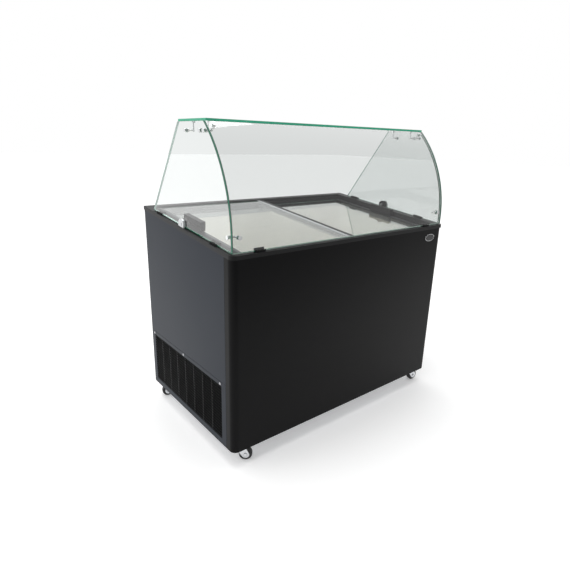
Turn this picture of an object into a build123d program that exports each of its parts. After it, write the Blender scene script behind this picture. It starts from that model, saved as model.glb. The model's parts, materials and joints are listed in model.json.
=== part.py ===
from build123d import *
import math
import os

# Ice-cream display chest freezer with a curved glass canopy, two sliding glass lids and four casters.
# Millimetres, +Z up, origin on the floor under the centre of the footprint.
# +X is the customer's right, -Y is the customer's side, +Y is the server's side.

# ---- Overall sizes ----
WIDTH = 1120.0
DEPTH = 660.0
FRONT_HEIGHT = 783.0  # floor to the collar's top at the front edge
REAR_HEIGHT = 858.0  # floor to the collar's top at the rear edge
OVERALL_HEIGHT = 1184.0  # floor to the top of the glass shelf

# ---- Cabinet ----
SHEET = 1.2
COLLAR_OVERHANG = 2.5
COLLAR_CLEARANCE = 0.2
COLLAR_THICKNESS = 5.0
COLLAR_SKIRT = 14.0
COLLAR_CORNER_RADIUS = 20.0
COLLAR_REAR_RADIUS = 2.0
PANEL_CORNER_RADIUS = 24.0
PANEL_SEAM_GAP = 1.0
FRONT_WRAP = 48.0  # how far the front panel wraps round each side
FRONT_WALL = 40.0  # collar's outer edge to the tank's inner face
REAR_WALL = 48.0
SIDE_WALL = 42.0
FLOOR_INSULATION = 50.0
PAN_RECESS = 2.0
PAN_SLOT = (120.0, 8.0, 24.0, 6)  # length, width, pitch and count of the pan's air slots
PAN_THICKNESS = 1.5
PAN_CLEARANCE = 0.3  # from the skin's inner face
TANK_CORNER_RADIUS = 45.0
LINER_THICKNESS = 1.5
DRAIN_RADIUS = 9.0
DRAIN_WALL = 2.0
DRAIN_CLEARANCE = 0.2
PARTITION_THICKNESS = 1.0
BREAKER_THICKNESS = 2.5
BREAKER_HEIGHT = 18.0  # below the lid frame

# ---- Lid frame, measured down from the collar's top ----
FRONT_FLANGE = 18.0
REAR_FLANGE = 26.0
FRAME_WALL = 3.0
UPPER_LEDGE_DEPTH = 13.0
LOWER_LEDGE_DEPTH = 32.0
FRAME_FLOOR = 4.0  # under the lower ledge
SLIDE_STRIP_THICKNESS = 1.0
SLIDE_STRIP_WIDTH = 7.0
SLIDE_STRIP_EDGE_GAP = 1.5
SLIDE_STRIP_END_GAP = 2.0

# ---- Lids ----
LID_GLASS = 5.0
LID_RUNNING_GAP = 0.3
LID_SIDE_CLEARANCE = 2.0
LID_END_CLEARANCE = 4.0
LID_OVERLAP = 26.0
DIVIDER_OFFSET = 16.0  # right edge of the left lid from the middle of the freezer
PROFILE_WIDTH = 14.0
PROFILE_WALL = 1.5
GLASS_IN_PROFILE = 10.0
SEAL_STRIP_WIDTH = 20.0
SEAL_STRIP_THICKNESS = 3.0
SEAL_LIP_CLEARANCE = 0.6
HANDLE_LENGTH = 124.0
HANDLE_HEIGHT = 33.0
HANDLE_WIDTH = 21.0
HANDLE_WALL = 3.0
LEFT_HANDLE_OFFSET = 14.0  # from the lid's middle towards the server
RIGHT_HANDLE_OFFSET = -14.0

# ---- Glass canopy ----
PANE = 8.0
CANOPY_INSET = 10.0  # collar's outer edge to the panes' outer faces
CURVE_RADIUS = 507.0
CURVE_START = 35.0  # height above the collar where the straight foot ends
SHELF_DEPTH = 188.0
SHELF_END_INSET = 2.0  # from the side panes' outer faces
SHELF_CORNER_RADIUS = 3.0
PANE_JOINT_GAP = 1.0
PANE_LIFT = 3.0  # gap under the panes that the clips hold open
PANE_REAR_INSET = 77.0  # cabinet's rear to the lower rear corner of the side panes

# ---- Canopy fittings ----
CONNECTOR_ROD_RADIUS = 2.8
CONNECTOR_DISC_RADIUS = 7.0
CONNECTOR_DISC = 3.5
CONNECTOR_CAP = 2.5
CONNECTOR_HOLE_RADIUS = 5.0
CONNECTOR_BOLT_RADIUS = 4.0
SHELF_CONNECTOR_DROP = 28.0
SHELF_CONNECTOR_LEG = 24.0
SHELF_CONNECTOR_Y = (-36.0, -133.0)
CORNER_CONNECTOR_LEG = 20.0
CORNER_CONNECTOR_ANGLES = (2.0, 43.5)  # round the curve, from its straight foot
CLIP_LENGTH = 40.0
CLIP_HEIGHT = 10.0  # inner wall
CLIP_LIP = 6.0  # outer wall
CLIP_WALL = 2.2
SIDE_CLIP_INNER_WALL = 9.0
CLIP_SLACK = 0.3
SIDE_CLIP_INSETS = (115.0, 55.0)  # from the front pane and from the side pane's rear corner
FRONT_CLIP_INSET = 106.0  # from the side pane
CLAMP_Y = 8.0
CLAMP_RADIUS = 19.0
CLAMP_BASE = 11.0  # height of its screw above the collar
CLAMP_THICKNESS = 7.0
CLAMP_GASKET = 0.2
CLAMP_SCREW_RADIUS = 3.0
CLAMP_SCREW_HEAD_RADIUS = 5.5
CLAMP_SCREW_HEAD = 1.6
CLAMP_NUT_RADIUS = 6.0
CLAMP_NUT = 8.0
CLAMP_HOLE_RADIUS = 4.2

# ---- Machine compartment ----
COMPARTMENT_LENGTH = 257.0  # from the left panel's inner face
GRILLE_HEIGHT = 252.0
GRILLE_SIDE_BORDER = 28.0
GRILLE_TOP_BORDER = 16.0
GRILLE_BOTTOM_BORDER = 24.0
SLAT_COUNT = 18
RIB_COUNT = 7
SLAT_THICKNESS = 1.4
SLAT_DEPTH = 9.0
SLAT_TILT = 8.0
RIB_THICKNESS = 2.0
RIB_DEPTH = 5.0
LOUVRE_RIM = 3.0
SCREW_RADIUS = 2.0
SCREW_HEAD_RADIUS = 4.5
SCREW_HEAD = 1.6
SCREW_LENGTH = 10.0
SERVICE_COVER_WIDTH = 236.0
SERVICE_COVER_HEIGHT = 248.0
SERVICE_SLOTS = 10
REBATE_WIDTH = 12.0  # the cover's seat, set back behind the rear panel
REBATE_LAP = 2.0
POCKET_DEPTH = 20.0
POCKET_WIDTH = 190.0
POCKET_HEIGHT = 58.0
POCKET_WALL = 2.0
POCKET_LIP = 5.0
POCKET_CLEARANCE = 0.2
KNOB_RADIUS = 17.0
KNOB_HEIGHT = 13.0
KNOB_LIFT = 0.5
KNOB_FLUTES = 12
SHAFT_RADIUS = 3.0
SHAFT_CLEARANCE = 0.05
ROCKER_WIDTH = 26.0
ROCKER_HEIGHT = 18.0
ROCKER_CLEARANCE = 0.6
ROCKER_TILT = 8.0
ROCKER_PIN_RADIUS = 1.5
ROCKER_PIN_REACH = 2.0
SWITCH_WALL = 2.0
SWITCH_DEPTH = 12.0
LAMP_RADIUS = 5.0
GLAND_RADIUS = 8.0
GLAND_BORE_RADIUS = 4.5
THERMOSTAT_DEPTH = 26.0
FAN_FROM_FRONT = 232.5  # front panel to the fan's axis
FAN_RADIUS = 78.0
FAN_OPENING_RADIUS = 88.0
FAN_BLADES = 5
FAN_HUB = 22.0
SHROUD_DEPTH = 16.8
MOTOR_ARM_RADIUS = 3.0
COMPRESSOR_FROM_REAR = 177.5  # rear panel to the compressor's middle
GROMMET_HEIGHT = 12.0
GROMMET_NECK_RADIUS = 5.0
MOUNT_PLATE = 3.0
SHELL_HALF_AXES = (66.0, 78.0)
SHELL_HEIGHT = 148.0
CONDENSER_LENGTH = 300.0
CONDENSER_THICKNESS = 36.0
CONDENSER_ROWS = 8
CONDENSER_ROW_PITCH = 24.0
CONDENSER_TUBE_RADIUS = 4.0
CONDENSER_FINS = 26
FIN_THICKNESS = 1.0
TUBE_CLEARANCE = 0.1
TUBE_BEND_REACH = 18.0
SUCTION_RADIUS = 5.0
SUCTION_CLEARANCE = 1.0
SUCTION_HOLE_DEPTH = 30.0  # above the partition's ceiling
EVAPORATOR_TUBE_RADIUS = 4.0
EVAPORATOR_LINER_GAP = 0.5
EVAPORATOR_CHANNEL_CLEARANCE = 0.3

# ---- Badge ----
BADGE_WIDTH = 64.0
BADGE_HEIGHT = 31.0
BADGE_THICKNESS = 1.5
BADGE_X = 470.0
BADGE_DROP = 51.0  # below the collar's top

# ---- Casters ----
CASTER_INSET_X = 60.0
CASTER_INSET_Y = 48.0
WHEEL_RADIUS = 25.0
WHEEL_TOP_CLEARANCE = 4.7  # under the fork's crown
WHEEL_WIDTH = 20.0
HUB_RADIUS = 17.0
HUB_BOSS_RADIUS = 8.0
TYRE_SHOULDER = 4.0
CASTER_TRAIL = 20.0
AXLE_RADIUS = 4.0
RUNNING_CLEARANCE = 0.05
CASTER_PLATE = 60.0
CASTER_PLATE_THICKNESS = 2.5
CASTER_HOLE_SPACING = 44.0
CASTER_BOLT_RADIUS = 3.0
CASTER_HOLE_CLEARANCE = 0.2
RACE_RADIUS = 20.0
RACE_HEIGHT = 7.5
KINGPIN_RADIUS = 5.0
KINGPIN_TOP_CLEARANCE = 3.0
FORK_THICKNESS = 2.5
FORK_BOSS_RADIUS = 14.0
FORK_SIDE_CLEARANCE = 1.5
CROWN_THICKNESS = 4.5
CROWN_CLEARANCE = 0.8
CASTER_HEADINGS = {"front_left": -37.0, "front_right": -8.0, "rear_left": 165.0, "rear_right": 172.0}

# ---- Values that follow from the sizes above ----
CASTER_STACK = CROWN_THICKNESS + CROWN_CLEARANCE + RACE_HEIGHT + CASTER_PLATE_THICKNESS
FLOOR_GAP = 2 * WHEEL_RADIUS + WHEEL_TOP_CLEARANCE + CASTER_STACK - PAN_RECESS  # under the skin
SLOPE = math.atan2(REAR_HEIGHT - FRONT_HEIGHT, DEPTH)
TOP = Location((0, -DEPTH / 2, FRONT_HEIGHT), (math.degrees(SLOPE), 0, 0))
SKIN_X = WIDTH / 2 - COLLAR_OVERHANG
SKIN_Y = DEPTH / 2 - COLLAR_OVERHANG
SEAM_Y = -DEPTH / 2 + FRONT_WRAP
PAN_TOP = FLOOR_GAP + PAN_RECESS + PAN_THICKNESS
FRAME_DEPTH = LOWER_LEDGE_DEPTH + FRAME_FLOOR
BREAKER_DEPTH = FRAME_DEPTH + BREAKER_HEIGHT
TANK_X = WIDTH / 2 - SIDE_WALL
TANK_FRONT_Y = -DEPTH / 2 + FRONT_WALL
TANK_REAR_Y = DEPTH / 2 - REAR_WALL
GRILLE_TOP = FLOOR_GAP + GRILLE_HEIGHT
PARTITION_X = -SKIN_X + SHEET + COMPARTMENT_LENGTH
PARTITION_Z = GRILLE_TOP + 6.0
STEP_X = PARTITION_X + FLOOR_INSULATION
STEP_Z = PARTITION_Z + FLOOR_INSULATION
TANK_BOTTOM_Z = PAN_TOP + FLOOR_INSULATION
CURVE_Z = FRONT_HEIGHT + CURVE_START
PANE_FRONT_Y = -DEPTH / 2 + CANOPY_INSET
CURVE_Y = PANE_FRONT_Y + CURVE_RADIUS
PANE_TOP = OVERALL_HEIGHT - PANE
SHELF_FRONT_Y = CURVE_Y - math.sqrt(CURVE_RADIUS**2 - (PANE_TOP - CURVE_Z) ** 2)
PANE_X = WIDTH / 2 - CANOPY_INSET
PANE_REAR_Y = DEPTH / 2 - PANE_REAR_INSET
LEDGE_WIDTH = (FRONT_WALL - FRONT_FLANGE) / 2
TOP_AXIS = Axis((0, 0, 0), (0, -math.sin(SLOPE), math.cos(SLOPE)))
CEILING_TOP = PARTITION_Z + PARTITION_THICKNESS
FAN_Y = -SKIN_Y + FAN_FROM_FRONT
FAN_Z = PAN_TOP + 118.0
COMPRESSOR_X = -SKIN_X + 135.0
COMPRESSOR_Y = SKIN_Y - COMPRESSOR_FROM_REAR
SUCTION_X = COMPRESSOR_X + 15.0
SUCTION_Y = COMPRESSOR_Y + 82.0
STANDING = (Align.CENTER, Align.CENTER, Align.MIN)
FAN_SIDE_X = -SKIN_X + 130.0
FAR = 3 * max(WIDTH, DEPTH, OVERALL_HEIGHT)


# ---- Helpers ----
def prism(x0, x1, y0, y1, z0, z1, radius=0.0):
    """An upright block between two corners, with rounded upright edges."""
    body = Pos(x0, y0, z0) * Box(x1 - x0, y1 - y0, z1 - z0, align=(Align.MIN,) * 3)
    if radius > 0:
        body = fillet(body.edges().filter_by(Axis.Z), radius)
    return body


def below(depth):
    """Everything that lies deeper than this under the collar's sloping top."""
    block = Box(FAR, FAR, FAR, align=(Align.CENTER, Align.CENTER, Align.MAX))
    return TOP * (Pos(0, DEPTH / 2, -depth) * block)


def sloped_ring(outer, inner, top_depth, bottom_depth):
    """An upright ring cut by two planes that are parallel to the collar's top."""
    return (outer - inner) & below(top_depth) - below(bottom_depth)


def rod(start, end, radius):
    """A round bar between two points."""
    start, end = Vector(*start), Vector(*end)
    plane = Plane(origin=start, z_dir=end - start)
    return extrude(plane * Circle(radius), amount=(end - start).length)


def top_height(y):
    """Height of the collar's top at this distance along the freezer's depth."""
    return FRONT_HEIGHT + (y + DEPTH / 2) * math.tan(SLOPE)


def slope_v(y, depth):
    """Distance up the slope of the point at y that lies this deep under the collar's top."""
    return (y + DEPTH / 2 - depth * math.sin(SLOPE)) / math.cos(SLOPE)


def mirrored_x(shape):
    return mirror(shape, about=Plane.YZ)


def group(solids):
    """Several separate solids kept together in one node."""
    parts = []
    for item in solids:
        parts.extend(item.solids())
    return Compound(children=parts)


nodes = {}


# ---- Outer skin ----
def skin_prism(inset, z0):
    """The cabinet's plan, rounded at the two front corners."""
    body = prism(-SKIN_X + inset, SKIN_X - inset, -SKIN_Y + inset, SKIN_Y - inset, z0, REAR_HEIGHT)
    corners = body.edges().filter_by(Axis.Z).group_by(Axis.Y)[0]
    return fillet(corners, PANEL_CORNER_RADIUS - inset)


def build_skin():
    shell = (skin_prism(0, FLOOR_GAP) - skin_prism(SHEET, 0)) & below(COLLAR_THICKNESS)
    wrap = prism(-FAR, FAR, -FAR, SEAM_Y, 0, FAR)
    nodes["front_panel"] = shell & wrap

    side_y0 = SEAM_Y + PANEL_SEAM_GAP
    side = prism(SKIN_X - SHEET, SKIN_X, side_y0, SKIN_Y, FLOOR_GAP, REAR_HEIGHT) & below(COLLAR_THICKNESS)
    nodes["right_side_panel"] = side
    above_grille = prism(-FAR, FAR, -FAR, FAR, GRILLE_TOP + PANEL_SEAM_GAP, FAR)
    nodes["left_side_panel"] = mirrored_x(side) & above_grille

    rear = prism(-SKIN_X + SHEET, SKIN_X - SHEET, SKIN_Y - SHEET, SKIN_Y, FLOOR_GAP, REAR_HEIGHT)
    x0, x1, z0, z1 = service_opening()
    panel = (rear & below(COLLAR_THICKNESS)) - prism(x0, x1, 0, FAR, z0, z1)
    lap, rebate = REBATE_LAP, REBATE_WIDTH
    panel += prism(x0 - lap, x1 + lap, SKIN_Y - 2 * SHEET, SKIN_Y - SHEET, z0 - lap, z1 + lap)
    panel -= prism(x0 + rebate, x1 - rebate, 0, FAR, z0 + rebate, z1 - rebate)
    for x, y, z in service_screw_points():
        panel -= rod((x, y, z), (x, y - 10, z), SCREW_RADIUS)
    nodes["rear_panel"] = panel


def service_opening():
    """The rear opening of the machine compartment: x0, x1, z0, z1."""
    x0 = -SKIN_X + 12.0
    z0 = FLOOR_GAP + 10.0
    return x0, x0 + SERVICE_COVER_WIDTH, z0, z0 + SERVICE_COVER_HEIGHT - 12.0


# ---- Base, insulation and tank ----
def caster_positions():
    x = WIDTH / 2 - CASTER_INSET_X
    y = DEPTH / 2 - CASTER_INSET_Y
    return {"front_left": (-x, -y), "front_right": (x, -y), "rear_left": (-x, y), "rear_right": (x, y)}


def caster_bolt_points():
    half = CASTER_HOLE_SPACING / 2
    return [
        (x + dx, y + dy)
        for x, y in caster_positions().values()
        for dx in (-half, half)
        for dy in (-half, half)
    ]


def drain_point():
    return TANK_X - 90.0, TANK_REAR_Y - 80.0


def build_base():
    inset = SHEET + PAN_CLEARANCE
    x, y = SKIN_X - inset, SKIN_Y - inset
    through = 4 * PAN_THICKNESS
    pan = skin_prism(inset, FLOOR_GAP + PAN_RECESS) & prism(-x, x, -y, y, 0, PAN_TOP)
    for px, py in caster_bolt_points():
        pan -= Pos(px, py, PAN_TOP) * Cylinder(CASTER_BOLT_RADIUS + CASTER_HOLE_CLEARANCE, through)
    for px, py in caster_positions().values():
        pan -= Pos(px, py, PAN_TOP) * Cylinder(KINGPIN_RADIUS + KINGPIN_TOP_CLEARANCE, through)
    dx, dy = drain_point()
    pan -= Pos(dx, dy, PAN_TOP) * Cylinder(DRAIN_RADIUS + DRAIN_CLEARANCE, through)
    length, width, pitch, count = PAN_SLOT
    slot = Box(length, width, through)
    slot = fillet(slot.edges().filter_by(Axis.Z), width / 2 - 0.1)
    for row in range(count):
        pan -= Pos(FAN_SIDE_X, FAN_Y + pitch * (row + 1), PAN_TOP) * slot
    nodes["base_pan"] = pan

    inner_y = SKIN_Y - SHEET
    wall = prism(PARTITION_X - PARTITION_THICKNESS, PARTITION_X, -inner_y, inner_y, PAN_TOP, CEILING_TOP)
    ceiling = prism(-SKIN_X + SHEET, PARTITION_X, -inner_y, inner_y, PARTITION_Z, CEILING_TOP)
    partition = (wall + ceiling) & skin_prism(SHEET, 0)
    partition -= Pos(SUCTION_X, SUCTION_Y, PARTITION_Z) * Cylinder(SUCTION_RADIUS + SUCTION_CLEARANCE, 10)
    nodes["compartment_partition"] = partition


def tank_volume(offset):
    """The tank's inside grown outwards by an offset: a deep part and a step over the compartment."""
    radius = TANK_CORNER_RADIUS + offset
    y0, y1 = TANK_FRONT_Y - offset, TANK_REAR_Y + offset
    inner = LINER_THICKNESS - offset
    deep = prism(STEP_X + inner, TANK_X + offset, y0, y1, TANK_BOTTOM_Z + inner, REAR_HEIGHT, radius)
    step = prism(-TANK_X - offset, TANK_X + offset, y0, y1, STEP_Z + inner, REAR_HEIGHT, radius)
    return deep + step


def frame_plan(front, rear, side, radius=0.0):
    """An upright block inside the collar, given its distances from the collar's outer edges."""
    return prism(-WIDTH / 2 + side, WIDTH / 2 - side, -DEPTH / 2 + front, DEPTH / 2 - rear, 0, FAR, radius)


def evaporator_loops():
    """Heights and plan extents (x0, x1) of the evaporator's turns, from the bottom up."""
    low = TANK_BOTTOM_Z + 45.0
    high = STEP_Z + 60.0
    deep_levels = [low + i * (STEP_Z - low - 50.0) / 2 for i in range(3)]
    full_levels = [high + i * (FRONT_HEIGHT - BREAKER_DEPTH - 45.0 - high) / 3 for i in range(4)]
    return [(z, STEP_X) for z in deep_levels], [(z, -TANK_X - LINER_THICKNESS) for z in full_levels]


def evaporator(radius):
    """Each set of turns is a flat loop with a gap, joined to the next by a slanting riser."""
    parts = []
    offset = LINER_THICKNESS + EVAPORATOR_LINER_GAP + EVAPORATOR_TUBE_RADIUS
    y0, y1 = TANK_FRONT_Y - offset, TANK_REAR_Y + offset
    gap_x, gap = 120.0, 60.0
    for loops in evaporator_loops():
        for z, outer_x in loops:
            x0 = outer_x - (EVAPORATOR_LINER_GAP + EVAPORATOR_TUBE_RADIUS)
            x1 = TANK_X + offset
            centre = Pos((x0 + x1) / 2, (y0 + y1) / 2, z)
            path = (centre * RectangleRounded(x1 - x0, y1 - y0, TANK_CORNER_RADIUS + offset)).wire()
            start = Plane(origin=path @ 0, z_dir=path % 0)
            turn = sweep(start * Circle(radius), path=path)
            parts.append(turn - prism(gap_x, gap_x + gap, y1 - 20, y1 + 20, z - 20, z + 20))
            parts.append(Pos(gap_x, y1, z) * Sphere(radius))
            parts.append(Pos(gap_x + gap, y1, z) * Sphere(radius))
        for (z_low, _), (z_high, _) in zip(loops, loops[1:]):
            parts.append(rod((gap_x, y1, z_low), (gap_x + gap, y1, z_high), radius))
    first, second = evaporator_loops()
    parts.append(rod((gap_x, y1, first[-1][0]), (gap_x + gap, y1, second[0][0]), radius))
    body = parts[0]
    for item in parts[1:]:
        body += item
    return body


def build_tank():
    liner = tank_volume(LINER_THICKNESS) - tank_volume(0.0)
    liner = liner & below(BREAKER_DEPTH)
    dx, dy = drain_point()
    drain_hole = Pos(dx, dy, TANK_BOTTOM_Z) * Cylinder(DRAIN_RADIUS + DRAIN_CLEARANCE, 40)
    nodes["inner_liner"] = liner - drain_hole

    inner = frame_plan(FRONT_WALL, REAR_WALL, SIDE_WALL, TANK_CORNER_RADIUS)
    t = BREAKER_THICKNESS
    outer = frame_plan(FRONT_WALL - t, REAR_WALL - t, SIDE_WALL - t, TANK_CORNER_RADIUS + t)
    nodes["breaker_strip"] = sloped_ring(outer, inner, FRAME_DEPTH, BREAKER_DEPTH)

    nodes["evaporator_coil"] = evaporator(EVAPORATOR_TUBE_RADIUS)

    foam = skin_prism(SHEET, PAN_TOP) & below(COLLAR_THICKNESS)
    foam -= prism(-FAR, PARTITION_X, -FAR, FAR, 0, CEILING_TOP)
    foam -= frame_outer() - below(FRAME_DEPTH)
    foam -= outer - below(BREAKER_DEPTH)
    foam -= tank_volume(LINER_THICKNESS)
    foam -= evaporator(EVAPORATOR_TUBE_RADIUS + EVAPORATOR_CHANNEL_CLEARANCE)
    foam -= Pos(dx, dy, PAN_TOP) * Cylinder(DRAIN_RADIUS + DRAIN_CLEARANCE, 4 * FLOOR_INSULATION)
    suction_hole = Cylinder(SUCTION_RADIUS + SUCTION_CLEARANCE, SUCTION_HOLE_DEPTH, align=STANDING)
    foam -= Pos(SUCTION_X, SUCTION_Y, PARTITION_Z) * suction_hole
    nodes["insulation_foam"] = group(foam_blocks(foam))

    flange_z = TANK_BOTTOM_Z + LINER_THICKNESS
    flange = Pos(dx, dy, flange_z) * Cylinder(DRAIN_RADIUS + 7.0, DRAIN_WALL, align=STANDING)
    stem_z = FLOOR_GAP - 4.0
    stem = Pos(dx, dy, stem_z) * Cylinder(DRAIN_RADIUS, flange_z + DRAIN_WALL - stem_z, align=STANDING)
    bore = Pos(dx, dy, stem_z) * Cylinder(DRAIN_RADIUS - DRAIN_WALL, 4 * FLOOR_INSULATION)
    nodes["drain_fitting"] = flange + stem - bore


def foam_blocks(foam):
    """The insulation cut into its floor, its walls and the corner fillets, as it is poured."""
    x0, x1 = -SKIN_X, SKIN_X
    y0, y1 = TANK_FRONT_Y - LINER_THICKNESS, TANK_REAR_Y + LINER_THICKNESS
    side = TANK_X + LINER_THICKNESS
    floors = [
        prism(PARTITION_X, x1, -SKIN_Y, SKIN_Y, 0, TANK_BOTTOM_Z),
        prism(PARTITION_X, STEP_X, y0, y1, TANK_BOTTOM_Z, STEP_Z),
        prism(x0, PARTITION_X, y0, y1, CEILING_TOP, STEP_Z),
    ]
    walls = [
        prism(PARTITION_X, x1, -SKIN_Y, y0, TANK_BOTTOM_Z, FAR),
        prism(PARTITION_X, x1, y1, SKIN_Y, TANK_BOTTOM_Z, FAR),
        prism(x0, PARTITION_X, -SKIN_Y, y0, CEILING_TOP, FAR),
        prism(x0, PARTITION_X, y1, SKIN_Y, CEILING_TOP, FAR),
        prism(x0, -side, y0, y1, STEP_Z, FAR),
        prism(side, x1, y0, y1, TANK_BOTTOM_Z, FAR),
    ]
    corners = [
        prism(-side, side, y0, y1, STEP_Z, FAR),
        prism(STEP_X, side, y0, y1, TANK_BOTTOM_Z, STEP_Z),
    ]
    blocks = [foam & region for region in floors + corners]
    for region in walls:
        wall = foam & region
        blocks += [wall & below(FRAME_DEPTH), wall - below(FRAME_DEPTH)]
    return blocks


# ---- Collar and lid frame ----
def frame_outer():
    return frame_plan(FRONT_FLANGE - FRAME_WALL, REAR_FLANGE - FRAME_WALL, SIDE_WALL - FRAME_WALL)


def collar_plan(inset, radius):
    """The collar's plan with rounded front corners and square rear ones."""
    body = frame_plan(inset, inset, inset)
    return fillet(body.edges().filter_by(Axis.Z).group_by(Axis.Y)[0], radius)


def build_collar():
    outer = collar_plan(0, COLLAR_CORNER_RADIUS)
    outer = fillet(outer.edges().filter_by(Axis.Z).group_by(Axis.Y)[-1], COLLAR_REAR_RADIUS)
    opening = frame_plan(FRONT_FLANGE, REAR_FLANGE, SIDE_WALL)
    flange = sloped_ring(outer, opening, 0, COLLAR_THICKNESS)
    reach = COLLAR_OVERHANG - COLLAR_CLEARANCE
    skirt_inner = collar_plan(reach, COLLAR_CORNER_RADIUS - reach)
    skirt = sloped_ring(outer, skirt_inner, 0, COLLAR_SKIRT)
    collar = flange + skirt
    rim = collar.faces().sort_by(TOP_AXIS)[-1].outer_wire().edges()
    nodes["top_collar"] = fillet(rim, 1.0)

    step = LEDGE_WIDTH
    upper = frame_plan(FRONT_FLANGE, REAR_FLANGE, SIDE_WALL)
    lower = frame_plan(FRONT_FLANGE + step, REAR_FLANGE + step, SIDE_WALL)
    throat = frame_plan(FRONT_WALL, REAR_WALL, SIDE_WALL, TANK_CORNER_RADIUS)
    frame = frame_outer() & below(COLLAR_THICKNESS)
    frame -= below(FRAME_DEPTH)
    frame -= upper - below(UPPER_LEDGE_DEPTH)
    frame -= lower - below(LOWER_LEDGE_DEPTH)
    frame -= throat
    for ledge_depth, front, rear in ledges():
        for edge in (front, rear):
            y0, y1 = sorted(edge)
            bar = prism(-TANK_X + SLIDE_STRIP_END_GAP, TANK_X - SLIDE_STRIP_END_GAP, y0, y1, 0, FAR)
            frame += (bar & below(ledge_depth - SLIDE_STRIP_THICKNESS)) - below(ledge_depth)
    nodes["lid_frame"] = frame


def ledges():
    """Each ledge's depth under the collar's top, and the y extents of its front and rear slide strips."""
    result = []
    for depth, inset in ((UPPER_LEDGE_DEPTH, 0.0), (LOWER_LEDGE_DEPTH, LEDGE_WIDTH)):
        front = -DEPTH / 2 + FRONT_FLANGE + inset + SLIDE_STRIP_EDGE_GAP
        rear = DEPTH / 2 - REAR_FLANGE - inset - SLIDE_STRIP_EDGE_GAP
        width = SLIDE_STRIP_WIDTH
        result.append((depth, (front, front + width), (rear - width, rear)))
    return result


# ---- Sliding lids ----
def lid_span(inset, depth):
    """Front and rear ends of a lid along the slope, clear of the frame's upright walls."""
    v0 = slope_v(-DEPTH / 2 + FRONT_FLANGE + inset, COLLAR_THICKNESS) + LID_SIDE_CLEARANCE
    v1 = slope_v(DEPTH / 2 - REAR_FLANGE - inset, depth) - LID_SIDE_CLEARANCE
    return v0, v1


def sloped_box(x0, x1, v0, v1, deep, shallow):
    """A block in the sloping frame, between two depths under the collar's top."""
    return TOP * prism(x0, x1, v0, v1, -deep, -shallow)


def glass_depths(ledge_depth):
    """Bottom and top of a lid's glass under the collar's top."""
    bottom = ledge_depth - SLIDE_STRIP_THICKNESS - LID_RUNNING_GAP - PROFILE_WALL
    return bottom, bottom - LID_GLASS


def end_profile(x0, v0, v1, bottom, top, opens_right):
    """An aluminium channel over a lid's end; opens_right tells which way its slot faces."""
    outer = sloped_box(x0, x0 + PROFILE_WIDTH, v0, v1, bottom + PROFILE_WALL, top - PROFILE_WALL)
    wall = PROFILE_WIDTH - GLASS_IN_PROFILE
    slot_x0 = x0 + wall if opens_right else x0
    slot = sloped_box(slot_x0, slot_x0 + GLASS_IN_PROFILE, v0, v1, bottom, top)
    return outer - slot


def handle(x_outer, inward, v_middle, glass_top):
    """A channel handle that stands on a lid's end profile, its finger recess open outwards."""
    base = glass_top - PROFILE_WALL
    top = base - HANDLE_HEIGHT
    x0, x1 = sorted((x_outer, x_outer + inward * HANDLE_WIDTH))
    v0, v1 = v_middle - HANDLE_LENGTH / 2, v_middle + HANDLE_LENGTH / 2
    body = sloped_box(x0, x1, v0, v1, base, top)
    r0, r1 = sorted((x_outer - inward, x_outer + inward * (HANDLE_WIDTH - HANDLE_WALL)))
    recess = sloped_box(r0, r1, v0 + HANDLE_WALL, v1 - HANDLE_WALL, base - HANDLE_WALL, top + HANDLE_WALL)
    return body - recess


def build_lids():
    end_x = TANK_X - LID_END_CLEARANCE
    # the left lid runs on the upper ledge
    bottom, top = glass_depths(UPPER_LEDGE_DEPTH)
    v0, v1 = lid_span(0.0, UPPER_LEDGE_DEPTH)
    right_edge = DIVIDER_OFFSET
    divider_x = right_edge - SEAL_STRIP_WIDTH - PROFILE_WIDTH
    wall = PROFILE_WIDTH - GLASS_IN_PROFILE
    nodes["left_lid_glass"] = sloped_box(-end_x + wall, divider_x + GLASS_IN_PROFILE, v0, v1, bottom, top)
    left_end = end_profile(-end_x, v0, v1, bottom, top, True)
    divider = end_profile(divider_x, v0, v1, bottom, top, False)
    nodes["left_lid_profiles"] = group([left_end, divider])
    v_middle = (v0 + v1) / 2
    nodes["left_lid_handle"] = handle(-end_x, 1, v_middle + LEFT_HANDLE_OFFSET, top)

    low_bottom, low_top = glass_depths(LOWER_LEDGE_DEPTH)
    seal_x = right_edge - SEAL_STRIP_WIDTH
    seal_top = top - PROFILE_WALL
    strip = sloped_box(seal_x, right_edge, v0, v1, seal_top + SEAL_STRIP_THICKNESS, seal_top)
    inset = LEDGE_WIDTH + LID_SIDE_CLEARANCE
    lip_x = right_edge - SEAL_STRIP_THICKNESS
    lip_v0, lip_v1 = v0 + inset, v1 - inset
    lip = sloped_box(lip_x, right_edge, lip_v0, lip_v1, low_top - SEAL_LIP_CLEARANCE, seal_top)
    nodes["left_lid_seal"] = strip + lip

    # the right lid runs on the lower ledge and passes under the left one
    w0, w1 = lid_span(LEDGE_WIDTH, LOWER_LEDGE_DEPTH)
    left_edge = right_edge - LID_OVERLAP
    nodes["right_lid_glass"] = sloped_box(left_edge + wall, end_x - wall, w0, w1, low_bottom, low_top)
    inner_end = end_profile(left_edge, w0, w1, low_bottom, low_top, True)
    right_end = end_profile(end_x - PROFILE_WIDTH, w0, w1, low_bottom, low_top, False)
    nodes["right_lid_profiles"] = group([inner_end, right_end])
    nodes["right_lid_handle"] = handle(end_x, -1, v_middle + RIGHT_HANDLE_OFFSET, low_top)


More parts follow.
